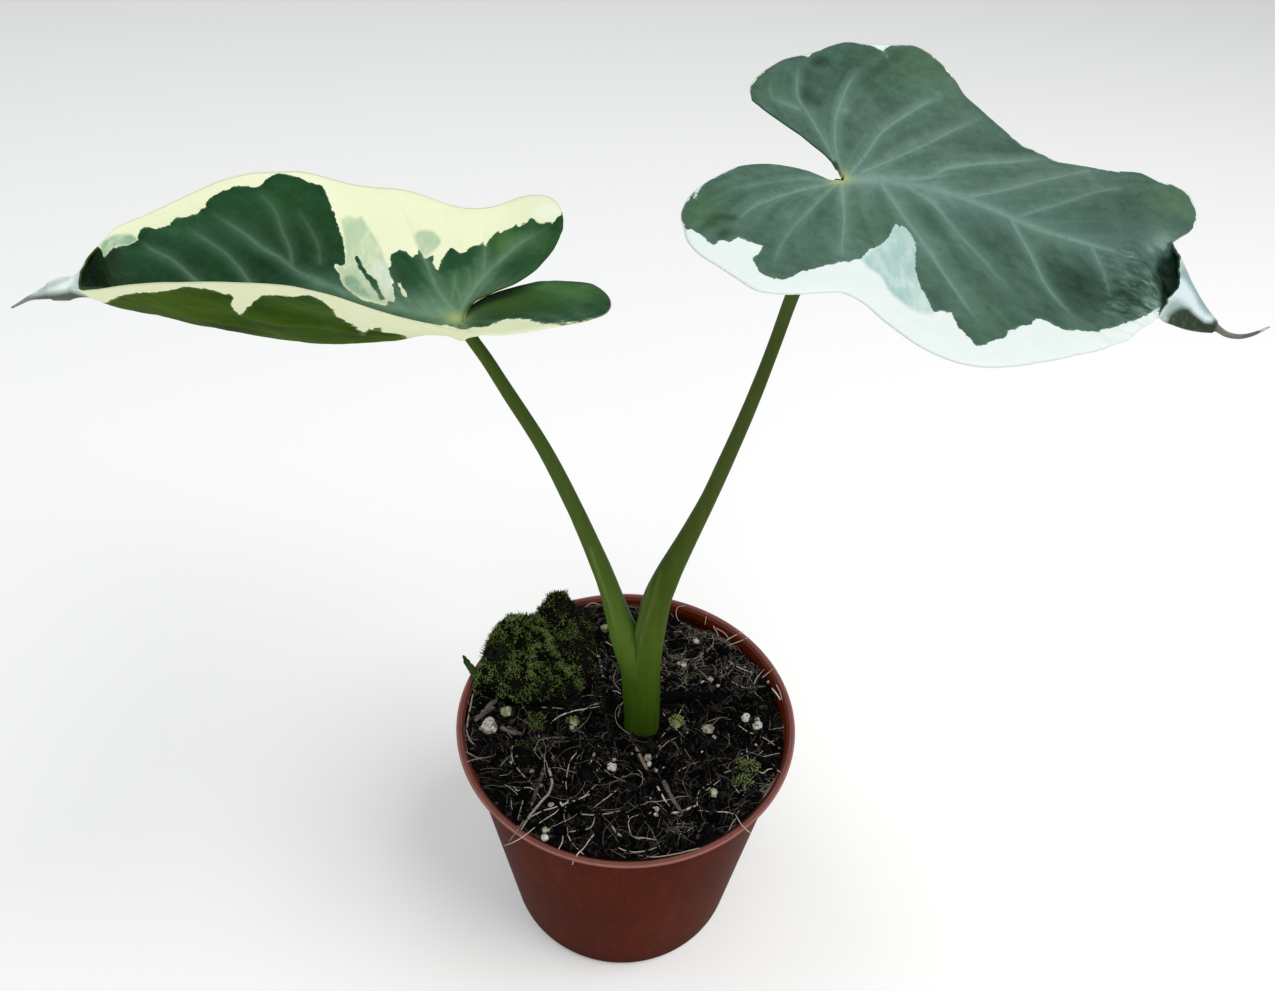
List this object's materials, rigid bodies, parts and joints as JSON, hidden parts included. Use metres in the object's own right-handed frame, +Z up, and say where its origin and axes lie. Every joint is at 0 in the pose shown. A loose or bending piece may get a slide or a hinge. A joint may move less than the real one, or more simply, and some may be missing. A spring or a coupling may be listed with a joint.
{
  "type": "potted alocasia",
  "caption": "Young potted alocasia: arrow-shaped blue-green and cream variegated leaves with pouched, tailed tips on green stalks, in a tapered brown nursery pot of fibrous soil.",
  "frame": {"origin": "centre of the pot's flat underside, on the surface it stands on", "axes": "+Z up along the pot's axis; -Y is the front, the side from which the leaves are seen spread to the left (-X) and to the right (+X)"},
  "size_m": [0.3126, 0.1202, 0.3155],
  "materials": {
    "pot_plastic": "satin, terracotta brown",
    "potting_soil": "rough, damp, fibrous",
    "corm_tissue": "matte",
    "moss": "rough, tufted",
    "leaf_stalk": "satin",
    "leaf_blade": "satin, veined, variegated",
    "perlite": "rough, crumbly",
    "wood_bits": "rough bark"
  },
  "bodies": {
    "root": {"pot": "pot_plastic", "soil": "potting_soil", "corm": "corm_tissue", "moss_clump": "moss", "left_leaf_stalk": "leaf_stalk", "right_leaf_stalk": "leaf_stalk", "left_leaf_blade": "leaf_blade", "right_leaf_blade": "leaf_blade", "perlite_01": "perlite", "perlite_02": "perlite", "perlite_03": "perlite", "perlite_04": "perlite", "perlite_05": "perlite", "perlite_06": "perlite", "perlite_07": "perlite", "perlite_08": "perlite", "perlite_09": "perlite", "perlite_10": "perlite", "perlite_11": "perlite", "perlite_12": "perlite", "perlite_13": "perlite", "perlite_14": "perlite", "perlite_15": "perlite", "perlite_16": "perlite", "twig_1": "wood_bits", "twig_2": "wood_bits", "twig_3": "wood_bits", "twig_4": "wood_bits", "bark_chip_1": "wood_bits", "bark_chip_2": "wood_bits"}
  },
  "joints": []
}
